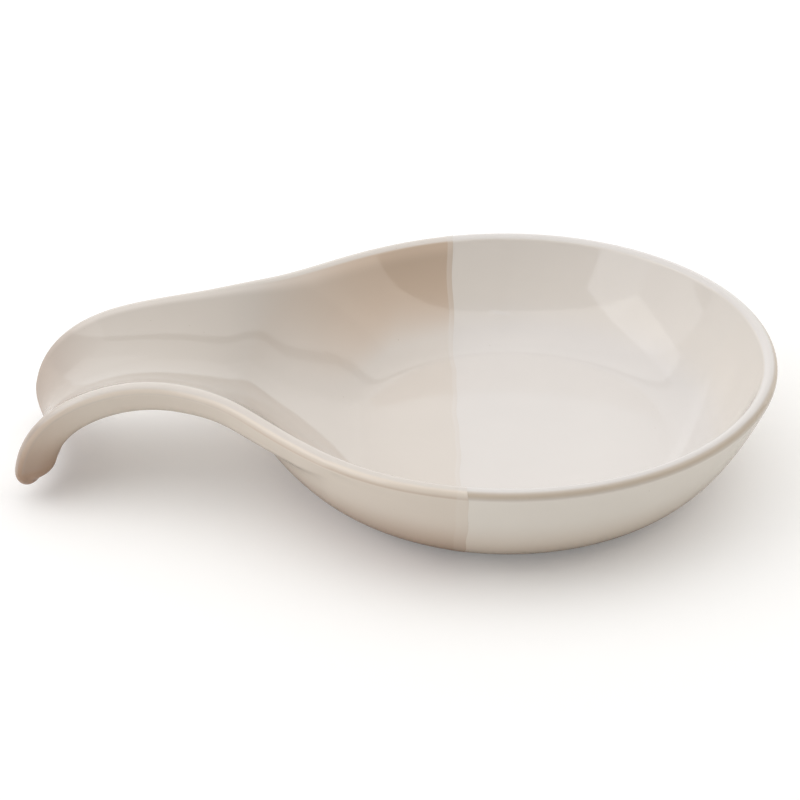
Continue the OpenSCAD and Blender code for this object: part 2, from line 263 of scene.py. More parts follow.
# Side view, (x, height), with the middle of the bowl's rim line at (0, 0).
crown = np.array([-SIZE["crown_x"], SIZE["crown_h"]])
tip = np.array([-SIZE["tip_x"], SIZE["tip_lift"] - lift])
rise_points = ([-SIZE["rise_start"], 0], [-SIZE["rise_start"] - SIZE["rise_pull_low"], 0],
               crown + [SIZE["rise_pull_top"], 0], crown)
droop_points = (crown, crown - [SIZE["droop_pull_top"], 0],
                tip + SIZE["droop_pull_tip"] * towards(math.radians(SIZE["tip_turn"])), tip)
spine = np.concatenate([cubic(*rise_points), cubic(*droop_points)[1:]])
spine_len = float(np.linalg.norm(np.diff(spine, axis=0), axis=1).sum())
tip_line = SIZE["rise_start"] + spine_len - rim_r

# Outline, (along, across), laid flat.
leave_turn = math.radians(SIZE["leave_turn"])
leave = rim_line * np.array([-math.sin(leave_turn), math.cos(leave_turn)])
neck = cubic(leave, leave - SIZE["neck_pull_bowl"] * towards(leave_turn),
             [SIZE["neck_pull_handle"] - SIZE["neck_end"], handle_half],
             [-SIZE["neck_end"], handle_half])
print("handle, measured along its arch, mm:", round(tip_line + rim_r, 1))

# %% [markdown]
# ## The rules for the two surfaces
# On the real piece a bowl was opened on one side and its floor drawn up a ramp into the
# handle, so the inside is one sweep with no step. It could be sculpted, but a rule is
# exact and gives a height for any point, so the surface can be sampled as finely as the
# render needs. Inside, a floor climbs the ramp between two walls that curve up to the
# rims. The underside is the lowest of the outer wall of the bowl, the rounded side of the
# handle, and the inside less the thickness of the clay.

# %% Distance in from the side
PAST_TIP = 80      # mm that the straight sides run on, past any point that is asked for
ARC_STEPS = 200    # points on the round part; of the neck's curve, each third point will do


def half_width(u):
    round_part = np.sqrt(np.maximum(rim_line ** 2 - np.minimum(u, rim_line) ** 2, 0))
    return np.where(u > leave[0], round_part, np.interp(-u, -neck[:, 0], neck[:, 1]))


arc = np.linspace(0, math.pi / 2 + leave_turn, ARC_STEPS)
side_line = np.concatenate([rim_line * np.c_[np.cos(arc), np.sin(arc)], neck[1::3],
                            [[-SIZE["neck_end"] - PAST_TIP, handle_half]]])


def side_in(u, y):
    """Distance in from the side of the outline, negative outside it."""
    u, y = np.broadcast_arrays(np.asarray(u, float), np.abs(np.asarray(y, float)))
    q = np.stack([u.ravel(), y.ravel()], 1)
    best = np.full(len(q), np.inf)
    for a, b in zip(side_line[:-1], side_line[1:]):
        ab = b - a
        t = np.clip(((q - a) @ ab) / (ab @ ab), 0, 1)
        best = np.minimum(best, np.hypot(*(q - a - t[:, None] * ab).T))
    best = best.reshape(u.shape)
    return np.where(y > half_width(u), -best, best)


print("the outline has", len(side_line) - 1, "short edges on each side")

# %% [markdown]
# ## Heights inside and underneath
# Each surface is a single function of the place in the plan. Where two forms meet
# underneath, the corner between them is rounded evenly, as a wet sponge would do it.

# %% Height rules
def soft_min(a, b, k):
    """The lower of two heights, with the corner between them rounded evenly."""
    h = np.maximum(k - np.abs(a - b), 0) / np.maximum(k, 1e-9)
    return np.minimum(a, b) - h ** 3 * k / 6


wall_out = math.atan(SIZE["outside_sweep"] * (body_h - 2 * rim_r) / (rim_line + rim_r - base_r))
out_r, out_h = rim_line + rim_r * math.sin(wall_out), -rim_r * (1 + math.cos(wall_out))


def top_h(u, y):
    """Inside: a floor that climbs the ramp, between two walls that curve up to the rims."""
    d = side_in(u, y)
    run = np.where(u > 0, 0, np.sqrt(u ** 2 + (SIZE["ramp_round"] * y) ** 2))
    down = np.clip((SIZE["ramp_top"] - run) / (SIZE["ramp_top"] - SIZE["ramp_foot"]), 0, 1)
    full = ease((SIZE["spread_full"] - run) / (SIZE["spread_full"] - SIZE["spread_start"]))
    deeper = SIZE["bowl_depth"] - SIZE["gutter_depth"]
    deep = SIZE["gutter_depth"] + deeper * ease(down ** SIZE["ramp_sweep"])
    wide = SIZE["gutter_share"] * half_width(u) * (1 - full) + (rim_line - floor_r) * full
    lip = np.arctan(SIZE["inside_sweep"] * deep / (wide - rim_r / 2))
    rise = (np.maximum(wide - d, 0) / (wide - rim_r * np.sin(lip))) ** SIZE["inside_sweep"]
    return -deep + (deep - rim_r * (1 - np.cos(lip))) * rise


def under_h(u, y):
    """Outside: the lowest of the bowl's wall, the handle's side and the inside less the clay."""
    d, r = side_in(u, y), np.hypot(u, y)
    out = np.clip((r - base_r) / (out_r - base_r), 0, 1)
    bowl = -body_h + (body_h + out_h) * out ** SIZE["outside_sweep"]
    turn = np.clip(1 - (d + rim_r) / SIZE["side_round"], 0, 1)
    side = -rim_r - SIZE["side_h"] * np.sqrt(1 - turn ** 2)
    clay = top_h(u, y) - SIZE["neck_t"] * ease(d / (2 * SIZE["side_round"]))
    side = soft_min(side, clay, SIZE["neck_blend"] * np.clip(d / SIZE["side_round"], 0, 1))
    # Under the bowl, the handle's section is lifted out of the way.
    off = ease((u + SIZE["section_full"]) / (SIZE["section_full"] - SIZE["section_start"]))
    blend = SIZE["under_blend"] * np.clip((d + rim_r) / SIZE["side_round"], 0, 1)
    return soft_min(bowl, side + SIZE["section_lift"] * off, blend)


middle_h = float(top_h(np.array(0.0), np.array(0.0)))
print("inside falls from", -SIZE["gutter_depth"], "mm in the gutter to", middle_h, "in the bowl")

# %% [markdown]
# ## The line where the two dips meet
# A potter holds the piece by one end, dips it, lets it dry and dips the other end. The
# edge of a dip is nearly straight but never ruled: it creeps a few tenths of a millimetre
# where the clay drank faster. The line is a small sum of waves, and the same sum is used
# for the mesh here and for the colour of the overlap in the glaze, so they stay together.

# %% Wave of the dip line
# Each wave: its size in mm, radians per mm across and per mm up, and the angle it starts at.
WAVES = ((0.26, 1 / 6.3, 1 / 4.1, 0.8), (0.16, 1 / 2.7, -1 / 3.3, 2.0), (0.30, 1 / 31, 1 / 17, 1.1))
# The line isn't quite square to the handle either: the piece was held slightly askew.
DIP = {"middle": -1.0, "per_y": -0.015, "outside": 0.9}


def dip_offset(y, z, outside):
    """How far the line stands towards the white end, in mm; outside is 1 under the rim."""
    wave = sum(size * np.sin(y * per_y + z * per_z + start) for size, per_y, per_z, start in WAVES)
    return wave + DIP["middle"] + DIP["per_y"] * y + DIP["outside"] * outside


print("the dip line wanders up to, mm:", round(sum(wave[0] for wave in WAVES), 2))

# %% [markdown]
# ## The mesh, laid flat
# Rungs cross the floor of the bowl. From the ends of the rungs, mesh lines fan out to the
# rim, go round it and come back underneath to the foot. A fan like this follows the rim
# and the dip line exactly, which a remeshed or subdivided block would not. It is made
# flat first, as if the handle had not been bent yet.

# %% Mesh lines
LINES = {"bowl": 60, "neck": 34, "side": 70, "corner": 10, "tip": 14}
RINGS = {"floor": 26, "top": 66, "rim": 26, "under": 40}
DIP_EXTRA = [-0.6, -0.3, 0.25, 0.5, 0.75, 1.25, 1.5]    # finer mesh lines beside the dip line
PROBE = 0.5    # mm over which the slope beside the rim is measured
dip_line = LINES["bowl"]
slit_line = dip_line + LINES["neck"]
corner_line = slit_line + LINES["side"]
last_line = corner_line + LINES["corner"] + LINES["tip"]
lines = np.unique(np.r_[np.arange(last_line + 1), dip_line + np.array(DIP_EXTRA)])
dip_at, slit_at = (int(np.searchsorted(lines, v)) for v in (dip_line, slit_line))
dip_angle = math.acos(-SIZE["dip_x"] / rim_line)
corner_u = -(tip_line - SIZE["tip_corner"])
corner_w = float(half_width(np.array(corner_u)))


def rim_points(i):
    """Where mesh line i meets the rim: bowl, then handle, then corner, then tip."""
    u = -SIZE["dip_x"] + (corner_u + SIZE["dip_x"]) * (i - dip_line) / (corner_line - dip_line)
    a = np.clip(math.pi / 2 * (i - corner_line) / LINES["corner"], 0, math.pi / 2)
    round_x = corner_u - SIZE["tip_corner"] * np.sin(a)
    round_y = corner_w - SIZE["tip_corner"] * (1 - np.cos(a))
    over_tip = (corner_w - SIZE["tip_corner"]) * (last_line - i) / LINES["tip"]
    where = [i < dip_line, i <= corner_line, i <= corner_line + LINES["corner"]]
    along = rim_line * np.cos(dip_angle * i / dip_line)
    x = np.select(where, [along, u, round_x], -tip_line)
    across = rim_line * np.sin(dip_angle * i / dip_line)
    y = np.select(where, [across, half_width(u), round_y], over_tip)
    return np.stack([x, y], 1)


def inner_points(i, r):
    """Ends of the same mesh lines: on a circle of the bowl, then along the middle of the handle."""
    turn = math.acos(-SIZE["dip_x"] / r)
    run = tip_line - SIZE["tip_corner"] - SIZE["corner_gap"]
    past_dip = turn + (math.pi - turn) * (i - dip_line) / LINES["neck"]
    a = np.where(i <= dip_line, turn * i / dip_line, past_dip)
    to_tip = (tip_line - SIZE["tip_gap"] - run) * (i - corner_line) / (last_line - corner_line)
    down_handle = (run - r) * (i - slit_line) / LINES["side"]
    along = np.where(i <= corner_line, -r - down_handle, -run - to_tip)
    on_circle = i < slit_line
    x, y = np.where(on_circle, r * np.cos(a), along), np.where(on_circle, r * np.sin(a), 0)
    return np.stack([x, y], 1)


rim_at = rim_points(lines)
floor_at, base_at = inner_points(lines, floor_r), inner_points(lines, base_r)
floor_at[0, 1] = base_at[0, 1] = 0
ahead = np.vstack([rim_at[1:], rim_at[-2] * [1, -1]]) - np.vstack([rim_at[1] * [1, -1], rim_at[:-1]])
out_dir = np.stack([ahead[:, 1], -ahead[:, 0]], 1) / np.linalg.norm(ahead, axis=1)[:, None]


def steepness(rule, from_rim):
    a = rim_at + from_rim * out_dir
    b = a - PROBE * out_dir
    return np.arctan(np.maximum(rule(*a.T) - rule(*b.T), 0) / PROBE)


turn_in, turn_out = steepness(top_h, -rim_r), steepness(under_h, rim_r / 2)
edge_in = rim_at - (rim_r * np.sin(turn_in))[:, None] * out_dir
edge_out = rim_at + (rim_r * np.sin(turn_out))[:, None] * out_dir
rim_h = top_h(*edge_in.T) - rim_r * np.cos(turn_in)
step_out = rim_h - rim_r * np.cos(turn_out) - under_h(*edge_out.T)
rows = sum(RINGS.values())
print("mesh lines on each side:", len(lines), "rows:", rows + 1)

# %% [markdown]
# ## Two sides of the flat skin
# Both sides are made by the same few lines. Near the dip line each row slides along by
# the wave, and the heights are read off after that, so the form does not change.

# %% Flat skin
CROWD = 1.3         # power that crowds the rows towards the rim
STEP_FADE = 6       # how soon the small step under the rim dies away, against that power
SLIDE_LINES = 4     # mesh lines on each side of the dip line that slide with it
MIN_ACROSS = 0.5    # keeps the slide along the rim short where the rim runs slantwise
over_rim = ease((np.arange(rows + 1) - RINGS["floor"] - RINGS["top"]) / RINGS["rim"])


def flat_side(sign):
    plan, fixed_h = [], []
    for j in range(RINGS["floor"]):
        plan.append(floor_at * [1, j / RINGS["floor"]])
        fixed_h.append(None)
    for j in range(RINGS["top"] + 1):
        plan.append(floor_at + (edge_in - floor_at) * (1 - (1 - j / RINGS["top"]) ** CROWD))
        fixed_h.append(None)
    for j in range(1, RINGS["rim"] + 1):
        a = math.pi / 2 + turn_in - (math.pi + turn_in - turn_out) * j / RINGS["rim"]
        plan.append(rim_at + (rim_r * np.cos(a))[:, None] * out_dir)
        fixed_h.append(rim_h + rim_r * np.sin(a))
    under_from = len(plan)
    for j in range(1, RINGS["under"] + 1):
        plan.append(base_at + (edge_out - base_at) * (1 - j / RINGS["under"]) ** CROWD)
        fixed_h.append(None)
    near_dip = ease(1 - np.abs(lines - dip_line) / SLIDE_LINES)
    slope = np.where(near_dip > 0, -out_dir[:, 0] / np.maximum(out_dir[:, 1], MIN_ACROSS), 0)
    made = []
    for j, (p, h) in enumerate(zip(plan, fixed_h)):
        rule = top_h if j < under_from else under_h
        first = h if h is not None else rule(*p.T)
        slide = dip_offset(sign * p[:, 1], first + lift, over_rim[j]) * near_dip
        p = p + np.stack([slide, slide * slope * (j > RINGS["floor"])], 1)
        if h is None:
            h = rule(*p.T)
            if j >= under_from:
                left = 1 - (j - under_from + 1) / RINGS["under"]
                h = h + step_out * left ** (CROWD * STEP_FADE)
        made.append(np.c_[p[:, 0], sign * p[:, 1], h])
    return np.array(made)


skin = {sign: flat_side(sign) for sign in (1, -1)}
print("flat skin, mm:", np.round([skin[1].min((0, 1)), skin[1].max((0, 1))], 1).tolist())

# %% [markdown]
# ## The foot, turned on the wheel
# The underside is flat clay with a low ring to stand on, left without glaze so that it
# doesn't stick to the kiln shelf. It is round, so its section is simply carried round the
# same angles that the mesh lines have at the edge of the base.

# %% Section of the foot
# Points (radius, height) from the edge of the glaze to the middle. The clay is bare from
# 0.5 mm inside that edge. The points set close beside a corner keep it crisp when the
# mesh is shaded smooth.
BARE, FAR, NEAR, DROP = 0.5, 0.3, 0.05, 0.08
foot_out, clay_base = base_r - SIZE["foot_inset"], -body_h + SIZE["glaze_t"]
foot_in, foot_low, nip = foot_out - SIZE["foot_w"], -lift, SIZE["foot_chamfer"]
bend_in = [(nip * (1 - math.cos(a)), nip * (1 - math.sin(a))) for a in np.linspace(0, math.pi / 2, 5)]
foot = [(base_r - BARE, clay_base), (foot_out + FAR, clay_base),
        (foot_out + NEAR, clay_base - DROP), (foot_out, clay_base - FAR)]
foot += [(foot_out - x, foot_low + z) for x, z in bend_in]
foot += [(foot_in + x, foot_low + z) for x, z in bend_in[::-1]]
foot += [(foot_in, clay_base - FAR), (foot_in - NEAR, clay_base - DROP), (foot_in - FAR, clay_base)]
foot += [(foot_in * k, clay_base) for k in (0.9, 0.75, 0.5, 0.25, 0)]
angles = np.arctan2(base_at[:, 1], base_at[:, 0])


def foot_side(sign):
    ring = np.stack([np.cos(angles), sign * np.sin(angles)], 1)
    return np.array([np.c_[r * ring, np.full(len(angles), h)] for r, h in foot])


foot_rows = {sign: foot_side(sign) for sign in (1, -1)}
print("foot ring from", foot_in, "to", foot_out, "mm, rows:", len(foot))

# %% [markdown]
# ## Flat pieces
# The clay takes every row, the coats only the glazed rows on their side of the dip line.
# Each point also keeps a few values. The bend reads whether it is glazed and how proud
# the glaze lies, because one dip laps over the other. The glazes read how far it is across
# that lap, whether it is on the rim or in the bowl, how near it is to the tip, where painted
# shade darkens it, and whether it is on the rim's outer half, which takes painted shade on
# the white and a painted highlight on the beige.

# %% Flat mesh maker
# The lap: its widths in mm inside the bowl and outside, its thickness, where across it the
# thickness ends, and how much of the white underneath shows through it.
LAP = {"width_in": 1.3, "width_out": 3.6, "proud": 0.07, "ends": (0.8, 1.2), "in": 0.36, "out": 0.2}
# Two fades in mm: where the walls start and fully count as the bowl's, measured along the
# flat handle, and where the painted shade towards the tip begins and is darkest, measured
# from the tip.
BOWL_FADE, TIP_FADE = (-95, -60), (45, 3)
WELD = 2e-6    # points closer than this many metres are one point


def window(x, start, full, fade, end):
    """Rises from 0 at start to 1 at full, and falls from 1 at fade to 0 at end."""
    return ease((x - start) / (full - start)) * (1 - ease((x - fade) / (end - fade)))


# Rows are counted from the inner edge of the rim. The rim's share starts in the last rows
# of the inside wall and ends a few rows underneath. The edge's share marks the rim's outer
# half, which takes painted shade on the white coat and a painted highlight on the beige. It
# is given as parts of the way over the rim, where about 0.25 is its top and about 0.8 its
# outermost line.
row = np.arange(rows + 1 + len(foot)) - RINGS["floor"] - RINGS["top"]
rim_share = window(row, start=-10, full=-2, fade=RINGS["rim"], end=RINGS["rim"] + 4)
lip_shading_share = window(row / RINGS["rim"], start=0.46, full=0.60, fade=0.70, end=0.95)


def point_values(grid, with_lap):
    """What each point of a flat grid keeps, by name."""
    whole = np.ones(grid.shape[:2])
    outside = np.r_[over_rim, np.ones(len(grid) - rows - 1)][:, None]
    line_x = -SIZE["dip_x"] + dip_offset(grid[..., 1], grid[..., 2] + lift, outside)
    across = line_x - grid[..., 0]
    share = across / (LAP["width_in"] + (LAP["width_out"] - LAP["width_in"]) * outside)
    start, end = LAP["ends"]
    from_tip = tip_line + grid[..., 0]
    return {
        "glazed": (np.arange(len(grid)) <= rows)[:, None] * whole,
        "lap": share,
        "proud": LAP["proud"] * (1 - ease((share - start) / (end - start))) * with_lap * MM,
        "rim": rim_share[:len(grid), None] * whole,
        "edge": lip_shading_share[:len(grid), None] * whole,
        "bowl": ease((grid[..., 0] - BOWL_FADE[0]) / (BOWL_FADE[1] - BOWL_FADE[0])),
        "tip_end": ease((TIP_FADE[0] - from_tip) / (TIP_FADE[0] - TIP_FADE[1])),
    }


def flat_mesh(name, first, last, with_foot):
    points, faces, kept = [], [], {}
    for sign in (1, -1):
        grid = skin[sign][:, first:last + 1]
        if with_foot:
            grid = np.concatenate([grid, foot_rows[sign][:, first:last + 1]])
        start, wide = len(points), grid.shape[1]
        points += grid.reshape(-1, 3).tolist()
        for key, values in point_values(grid, first > 0).items():
            kept[key] = kept.get(key, []) + values.ravel().tolist()
        for j in range(len(grid) - 1):
            for c in range(wide - 1):
                if (j < RINGS["floor"] or j >= rows) and first + c >= slit_at:
                    continue
                a, b = start + j * wide + c, start + (j + 1) * wide + c
                faces.append((a, b, b + 1, a + 1)[::sign])
    thing = mesh_object(name, np.array(points) * MM, faces)
    for key, values in kept.items():
        layer = thing.data.attributes.new(key, "FLOAT", "POINT")
        layer.data.foreach_set("value", np.asarray(values, dtype=np.float32))
    work = bmesh.new()
    work.from_mesh(thing.data)
    bmesh.ops.remove_doubles(work, verts=work.verts, dist=WELD)
    loose = [v for v in work.verts if not v.link_faces]
    bmesh.ops.delete(work, geom=loose, context="VERTS")
    work.to_mesh(thing.data)
    open_edges = sum(e.is_boundary for e in work.edges)
    work.free()
    print(name, "flat:", len(thing.data.vertices), "points,", open_edges, "open edges")
    return thing


stoneware = flat_mesh("stoneware_clay", 0, len(lines) - 1, True)
white_coat = flat_mesh("white_coat", 0, dip_at, False)
beige_coat = flat_mesh("beige_coat", dip_at, len(lines) - 1, False)

# %% [markdown]
# ## Geometry Nodes: bend over the arch
# The handle follows a path, which is work for Geometry Nodes. The tree draws the rise and
# the droop as two Bezier curves, and sets each point of the flat skin at its distance
# along them, square to the curve. Points within the base stay where they are. The clay is
# then set in by the thickness of the glaze. A coat is set proud where it laps, and gets
# its own thickness: a copy of it, moved in and turned round, closes it at the edges.

# %% The bending tree
PATH_STEPS = 400
TREE_INPUTS = {
    "NodeSocketVector": ("Rise 1", "Rise 2", "Rise 3", "Crown", "Droop 2", "Droop 3", "Tip", "Place"),
    "NodeSocketFloat": ("Still Radius", "Bent Radius", "Clay Inset", "Coat Thickness"),
    "NodeSocketBool": ("Is Coat",),
    "NodeSocketMaterial": ("Material",),
}


def named_value(tree, key, kind="FLOAT"):
    return add(tree, "GeometryNodeInputNamedAttribute", {"data_type": kind}, Name=key).outputs[0]


def scaled(tree, vector, factor):
    times = add(tree, "ShaderNodeVectorMath", {"operation": "SCALE"}, _0=vector, Scale=factor)
    return times.outputs[0]


def split(tree, vector):
    return add(tree, "ShaderNodeSeparateXYZ", Vector=vector).outputs


def bezier(tree, start, pull_start, pull_end, end):
    return add(tree, "GeometryNodeCurvePrimitiveBezierSegment", Resolution=PATH_STEPS, Start=start,
               Start_Handle=pull_start, End_Handle=pull_end, End=end).outputs[0]


def bent_position(tree, given, path, spot):
    """Where a point of the flat skin goes: at its distance along the path, square to it."""
    length = add(tree, "GeometryNodeCurveLength", Curve=path).outputs[0]
    flat = split(tree, spot)
    along = maths(tree, "SUBTRACT", split(tree, given["Rise 1"])[0], flat[0])
    inside = maths(tree, "MINIMUM", maths(tree, "MAXIMUM", along, 0.0), length)
    before = maths(tree, "MAXIMUM", maths(tree, "MULTIPLY", along, -1.0), 0.0)
    past = maths(tree, "MAXIMUM", maths(tree, "SUBTRACT", along, length), 0.0)
    at = add(tree, "GeometryNodeSampleCurve", {"mode": "LENGTH", "use_all_curves": True},
             Curves=path, Length=inside)
    way, here = split(tree, at.outputs["Tangent"]), split(tree, at.outputs["Position"])
    past_x = maths(tree, "MULTIPLY", past, way[0])
    past_z = maths(tree, "MULTIPLY", past, way[2])
    side_x = maths(tree, "MULTIPLY_ADD", flat[2], way[2], past_x)
    side_z = maths(tree, "SUBTRACT", past_z, maths(tree, "MULTIPLY", flat[2], way[0]))
    bent_x = maths(tree, "ADD", maths(tree, "ADD", here[0], before), side_x)
    bent_z = maths(tree, "ADD", here[2], side_z)
    bent = add(tree, "ShaderNodeCombineXYZ", X=bent_x, Y=flat[1], Z=bent_z).outputs[0]
    y_squared = maths(tree, "MULTIPLY", flat[1], flat[1])
    radius = maths(tree, "SQRT", maths(tree, "MULTIPLY_ADD", flat[0], flat[0], y_squared))
    share = add(tree, "ShaderNodeMapRange", {"interpolation_type": "SMOOTHSTEP"}, Value=radius,
                From_Min=given["Still Radius"], From_Max=given["Bent Radius"]).outputs[0]
    mixed = add(tree, "ShaderNodeMix", {"data_type": "VECTOR"}, _0=share, _4=spot, _5=bent)
    moved = add(tree, "ShaderNodeVectorMath", {"operation": "ADD"},
                _0=mixed.outputs[1], _1=given["Place"])
    return moved.outputs[0]


def closed_coat(tree, given, skin_bent, square):
    """The bent skin, proud where it laps, and a copy of it moved in and turned round."""
    kept = add(tree, "GeometryNodeStoreNamedAttribute",
               {"data_type": "FLOAT_VECTOR", "domain": "POINT"},
               Geometry=skin_bent, Name="outward", Value=square).outputs[0]
    normal = named_value(tree, "outward", "FLOAT_VECTOR")
    ridge = scaled(tree, normal, named_value(tree, "proud"))
    outer = add(tree, "GeometryNodeSetPosition", Geometry=kept, Offset=ridge).outputs[0]
    pulled = add(tree, "GeometryNodeExtrudeMesh", {"mode": "FACES"}, Mesh=kept, Offset_Scale=0.0,
                 Individual=False)
    back = scaled(tree, normal, maths(tree, "MULTIPLY", given["Coat Thickness"], -1.0))
    inner = add(tree, "GeometryNodeSetPosition", Geometry=pulled.outputs[0],
                Selection=pulled.outputs[1], Offset=back).outputs[0]
    not_pulled = add(tree, "FunctionNodeBooleanMath", {"operation": "NOT"}, _0=pulled.outputs[1])
    lifted = add(tree, "GeometryNodeSetPosition", Geometry=inner,
                 Selection=not_pulled.outputs[0], Offset=ridge)
    turned = add(tree, "GeometryNodeFlipFaces", Mesh=lifted.outputs[0]).outputs[0]
    shell = tree.nodes.new("GeometryNodeJoinGeometry")
    for part in (turned, outer):
        tree.links.new(part, shell.inputs[0])
    closed = add(tree, "GeometryNodeMergeByDistance", Geometry=shell.outputs[0], Distance=WELD)
    return closed.outputs[0]


def bend_tree():
    tree = bpy.data.node_groups.new("bend over the arch", "GeometryNodeTree")
    tree.is_modifier = True
    socket = tree.interface.new_socket
    socket("Geometry", in_out="OUTPUT", socket_type="NodeSocketGeometry")
    socket("Geometry", in_out="INPUT", socket_type="NodeSocketGeometry")
    for kind, names in TREE_INPUTS.items():
        for name in names:
            socket(name, in_out="INPUT", socket_type=kind)
    given = tree.nodes.new("NodeGroupInput").outputs
    rise = bezier(tree, *(given[name] for name in ("Rise 1", "Rise 2", "Rise 3", "Crown")))
    droop = bezier(tree, *(given[name] for name in ("Crown", "Droop 2", "Droop 3", "Tip")))
    path = tree.nodes.new("GeometryNodeJoinGeometry")
    for part in (droop, rise):
        tree.links.new(part, path.inputs[0])
    spot = add(tree, "GeometryNodeInputPosition").outputs[0]
    placed = bent_position(tree, given, path.outputs[0], spot)
    skin_bent = add(tree, "GeometryNodeSetPosition", Geometry=given["Geometry"],
                    Position=placed).outputs[0]

    square = add(tree, "GeometryNodeInputNormal").outputs[0]
    inset = maths(tree, "MULTIPLY", named_value(tree, "glazed"), given["Clay Inset"])
    step_in = scaled(tree, square, maths(tree, "MULTIPLY", inset, -1.0))
    clay = add(tree, "GeometryNodeSetPosition", Geometry=skin_bent, Offset=step_in).outputs[0]
    coat = closed_coat(tree, given, skin_bent, square)
    chosen = add(tree, "GeometryNodeSwitch", {"input_type": "GEOMETRY"},
                 _0=given["Is Coat"], _1=clay, _2=coat)
    real = add(tree, "GeometryNodeRealizeInstances", Geometry=chosen.outputs[0]).outputs[0]
    finish = add(tree, "GeometryNodeSetMaterial", Geometry=real, Material=given["Material"])
    add(tree, "NodeGroupOutput", Geometry=finish.outputs[0])
    return tree


bending = bend_tree()
named_inputs = sum(len(names) for names in TREE_INPUTS.values())
print("bending tree:", len(bending.nodes), "nodes,", named_inputs, "named inputs")

# %% [markdown]
# ## Small steps that all the materials share
# The glazes and the clay are built from the same few moves: go smoothly from one value to
# another, blend two colours by a share, tint a colour, and read what a point keeps.

# %% Material helpers
def new_material(name):
    material = bpy.data.materials.new(name)
    material.use_nodes = True
    material.node_tree.nodes.clear()
    return material, material.node_tree


def share_of(tree, value, start, end):
    """Goes smoothly from 0 at start to 1 at end."""
    return add(tree, "ShaderNodeMapRange", {"interpolation_type": "SMOOTHSTEP"}, Value=value,
               From_Min=start, From_Max=end).outputs[0]


def blend_colours(tree, share, first, second, kind="MIX"):
    settings = {"data_type": "RGBA", "blend_type": kind}
    return add(tree, "ShaderNodeMix", settings, _0=share, _6=first, _7=second).outputs[2]


def tinted(tree, share, colour, tint):
    return blend_colours(tree, share, colour, linear(tint), "MULTIPLY")


def noise(tree, spot, size_mm, detail):
    scale = 1 / (size_mm * MM)
    return add(tree, "ShaderNodeTexNoise", Vector=spot, Scale=scale, Detail=detail).outputs[0]


def attribute(tree, name):
    return add(tree, "ShaderNodeAttribute", {"attribute_name": name}).outputs["Fac"]


print("material helpers ready")

# %% [markdown]
# ## The glazes
# Both coats are gloss stoneware glaze, so their base is a plain glassy surface: an index
# of refraction of 1.5 and very little roughness. What makes them look like glaze is how
# they differ from paint: their colour pools in soft clouds, tiny iron specks come through,
# and the glassy skin has the faint orange peel that makes reflected edges tremble. Their
# colour also holds painted light and shade: lit and shaded copies of each glaze for level
# ground, steep walls inside and the upper and lower outside, and painted tints on the rim,
# the handle's high tops and the tip.

# %% Glaze maker
# Sizes in mm; slopes as the height of the normal, 1 on level ground and 0 on an upright wall.
# Specks smaller than 0.5 mm would fall between pixels. About a quarter of the cells have one.
# The steep, outside, open, low and high ranges pick where painted light and shade fall.
GLAZE = {"ior": 1.5, "roughness": 0.07, "steep_from_to": (0.80, 0.56),
         "outside_from_to": (0.15, -0.25), "open_from_to": (0.2, 0.6), "low_from_to": (24, 4),
         "high_from_to": (12, 38), "lap_from_to": (1.1, 0.9), "cloud_size": 18, "cloud_depth": 0.02,
         "speck_every": 4.0, "speck_size": 0.5, "speck_pick": (0.72, 0.76), "speck_depth": 0.35,
         "peel_size": 5, "peel_depth": 0.02}


def clouded(tree, spot, colour):
    clouds = noise(tree, spot, GLAZE["cloud_size"], 2.0)
    shade = maths(tree, "MULTIPLY_ADD", clouds, 2 * GLAZE["cloud_depth"], 1 - GLAZE["cloud_depth"])
    return add(tree, "ShaderNodeHueSaturation", Value=shade, Color=colour).outputs[0]


def specked(tree, spot, colour, speck):
    cells = add(tree, "ShaderNodeTexVoronoi", Vector=spot, Scale=1 / (GLAZE["speck_every"] * MM))
    cell_number = add(tree, "ShaderNodeSeparateColor", Color=cells.outputs["Color"]).outputs[0]
    picked = share_of(tree, cell_number, *GLAZE["speck_pick"])
    width = GLAZE["speck_size"] / GLAZE["speck_every"]
    dot = share_of(tree, cells.outputs["Distance"], width / 2, width / 5)
    share = maths(tree, "MULTIPLY", maths(tree, "MULTIPLY", dot, picked), GLAZE["speck_depth"])
    return blend_colours(tree, share, colour, linear(speck))


